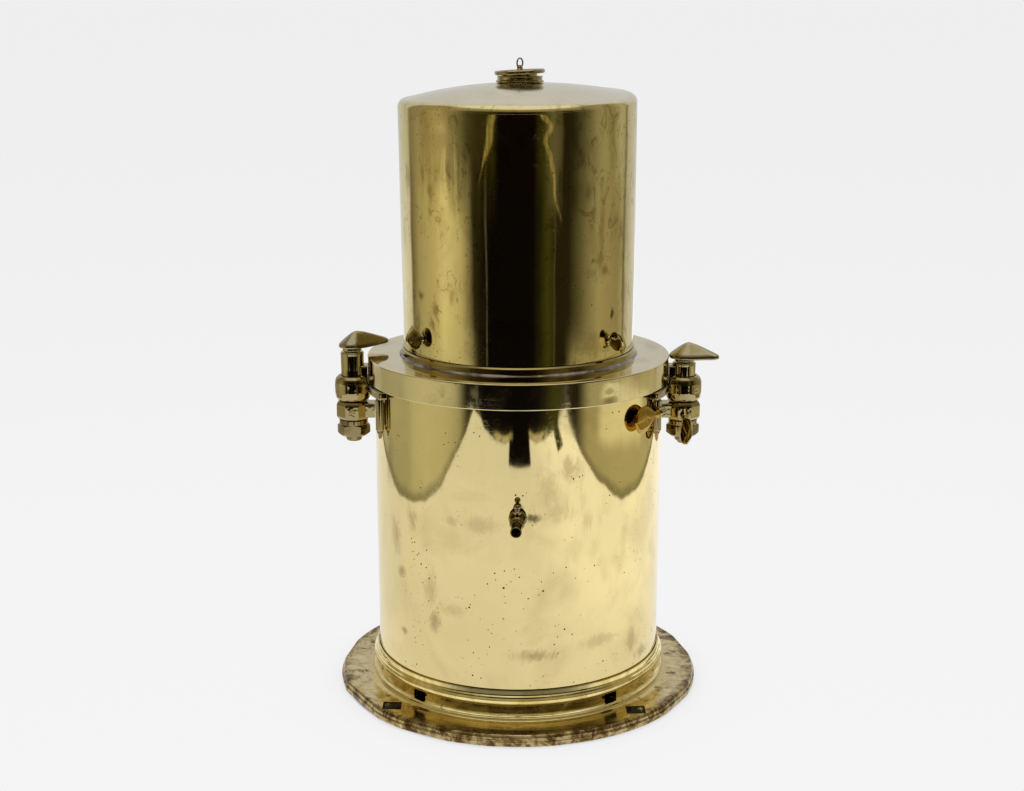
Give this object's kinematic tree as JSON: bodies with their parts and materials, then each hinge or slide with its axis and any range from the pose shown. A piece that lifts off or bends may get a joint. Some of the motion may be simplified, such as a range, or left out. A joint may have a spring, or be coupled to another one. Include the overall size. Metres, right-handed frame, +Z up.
{
  "type": "binnacle compass",
  "caption": "Cylindrical brass boat binnacle: flanged drum, clamped lid, lift-off hood with vent cap, and a gimballed compass bowl with a turning card inside.",
  "frame": {"origin": "centre of the deck flange's underside", "axes": "+Z up; the drain cock points along -Y; the lid catches lie on the X axis"},
  "size_m": [0.2799, 0.2684, 0.4596],
  "materials": {
    "drum_brass": "polished, with faint tarnish clouds",
    "lid_brass": "polished and scratched",
    "hood_brass": "polished mirror with brown stains",
    "cast_brass": "cast, mottled brown and gold patina",
    "aged_brass": "worn satin",
    "dark_brass": "dark tarnish",
    "lacquered_brass": "bright golden",
    "steel": "dull grey",
    "gimbal_brass": "satin",
    "gasket_rubber": "matt",
    "glass": "clear",
    "card_enamel": "printed card",
    "lead": "dull lead grey"
  },
  "bodies": {
    "base": {"base_flange": "cast_brass", "drum_shell": "drum_brass", "cock_body": "dark_brass", "catch_base_left": "aged_brass", "catch_base_right": "aged_brass", "catch_nut_left": "dark_brass", "catch_nut_right": "dark_brass", "guide_sleeve_left": "aged_brass", "guide_sleeve_right": "aged_brass", "gimbal_bearing_left": "gimbal_brass", "gimbal_bearing_right": "gimbal_brass"},
    "lid": {"lid_plate": "lid_brass", "hood_collar": "aged_brass", "lid_gasket": "gasket_rubber", "catch_housing_left": "aged_brass", "catch_housing_right": "aged_brass", "guide_pin_left": "dark_brass", "guide_pin_right": "dark_brass"},
    "sleeve_left": {"catch_sleeve_left": "aged_brass"},
    "sleeve_right": {"catch_sleeve_right": "aged_brass"},
    "handle_left": {"catch_handle_left": "aged_brass", "catch_spindle_left": "steel"},
    "handle_right": {"catch_handle_right": "aged_brass", "catch_spindle_right": "steel"},
    "hood": {"hood_shell": "hood_brass", "window_frame": "aged_brass", "window_glass": "glass", "vent_neck": "aged_brass", "screw_boss_left": "aged_brass", "screw_boss_right": "aged_brass", "screw_boss_rear": "aged_brass"},
    "hood_screw_left": {"hood_thumbscrew_left": "lacquered_brass"},
    "hood_screw_right": {"hood_thumbscrew_right": "lacquered_brass"},
    "hood_screw_rear": {"hood_thumbscrew_rear": "lacquered_brass"},
    "cap": {"vent_cap": "aged_brass", "cap_eye": "aged_brass"},
    "ring": {"cap_ring": "steel"},
    "pin_screw": {"pin_lock_screw": "lacquered_brass"},
    "clamp_screw": {"catch_lock_screw": "lacquered_brass"},
    "key": {"cock_key": "dark_brass"},
    "gimbal": {"gimbal_ring": "gimbal_brass", "gimbal_pivot_left": "steel", "gimbal_pivot_right": "steel"},
    "bowl": {"compass_bowl": "gimbal_brass", "bowl_bezel": "gimbal_brass", "bowl_glass": "glass", "lubber_pin": "steel", "bowl_pivot_front": "steel", "bowl_pivot_back": "steel", "card_pivot": "steel", "bowl_ballast": "lead"},
    "card": {"compass_card": "card_enamel", "card_cap": "gimbal_brass", "card_float": "gimbal_brass", "card_magnet_left": "steel", "card_magnet_right": "steel"}
  },
  "joints": [
    {"name": "lid_lift", "type": "slide", "parent": "base", "child": "lid", "axis": [0, 0, 1], "range_m": [0, 0.08]},
    {"name": "handle_left_turn", "type": "hinge", "parent": "sleeve_left", "child": "handle_left", "pos_m": [-0.1215, 0, 0.2526], "axis": [0, 0, 1], "range_deg": [0, 190.7]},
    {"name": "sleeve_left_draw", "type": "slide", "parent": "lid", "child": "sleeve_left", "axis": [0, 0, 1], "range_m": [-0.0078, 0]},
    {"name": "handle_right_turn", "type": "hinge", "parent": "sleeve_right", "child": "handle_right", "pos_m": [0.1215, 0, 0.2448], "axis": [0, 0, 1], "range_deg": [0, 190.7]},
    {"name": "sleeve_right_draw", "type": "slide", "parent": "lid", "child": "sleeve_right", "axis": [0, 0, 1], "range_m": [0, 0.0078]},
    {"name": "hood_lift", "type": "slide", "parent": "lid", "child": "hood", "axis": [0, 0, 1], "range_m": [0, 0.2]},
    {"name": "hood_screw_left_turn", "type": "hinge", "parent": "hood", "child": "hood_screw_left", "pos_m": [-0.06893, -0.05008, 0.2685], "axis": [-0.809, -0.5878, 0], "range_deg": [-180, 180]},
    {"name": "hood_screw_right_turn", "type": "hinge", "parent": "hood", "child": "hood_screw_right", "pos_m": [0.0643, -0.0559, 0.2685], "axis": [0.7547, -0.6561, 0], "range_deg": [-180, 180]},
    {"name": "hood_screw_rear_turn", "type": "hinge", "parent": "hood", "child": "hood_screw_rear", "pos_m": [0.00372, 0.08512, 0.2685], "axis": [0.0436, 0.999, 0], "range_deg": [-180, 180]},
    {"name": "cap_lift", "type": "slide", "parent": "hood", "child": "cap", "axis": [0, 0, 1], "range_m": [0, 0.03]},
    {"name": "ring_swing", "type": "hinge", "parent": "cap", "child": "ring", "pos_m": [0.00092, 0, 0.4523], "axis": [0.6, 0.8, 0], "range_deg": [-75, 75]},
    {"name": "pin_screw_turn", "type": "hinge", "parent": "base", "child": "pin_screw", "pos_m": [0.1006, -0.04691, 0.2157], "axis": [-0.5729, -0.8181, -0.0499], "range_deg": [-12, 12]},
    {"name": "clamp_screw_turn", "type": "hinge", "parent": "base", "child": "clamp_screw", "pos_m": [0.1215, -0.0119, 0.2064], "axis": [0, -0.766, -0.6428], "range_deg": [-180, 180]},
    {"name": "cock_key_turn", "type": "hinge", "parent": "base", "child": "key", "pos_m": [-0.00097, -0.11196, 0.15539], "axis": [-0.0046, -0.087, 0.9962], "range_deg": [0, 90]},
    {"name": "gimbal_roll", "type": "hinge", "parent": "base", "child": "gimbal", "pos_m": [0, 0, 0.2], "axis": [1, 0, 0], "range_deg": [-22, 22]},
    {"name": "bowl_pitch", "type": "hinge", "parent": "gimbal", "child": "bowl", "pos_m": [0, 0, 0.2], "axis": [0, 1, 0], "range_deg": [-25, 25]},
    {"name": "card_spin", "type": "hinge", "parent": "bowl", "child": "card", "pos_m": [0, 0, 0.1938], "axis": [0, 0, 1], "continuous": true}
  ],
  "couplings": [
    {"joint": "handle_left_turn", "follows": "sleeve_left_draw", "rad_per_m": -426.49},
    {"joint": "handle_right_turn", "follows": "sleeve_right_draw", "rad_per_m": 426.49}
  ]
}
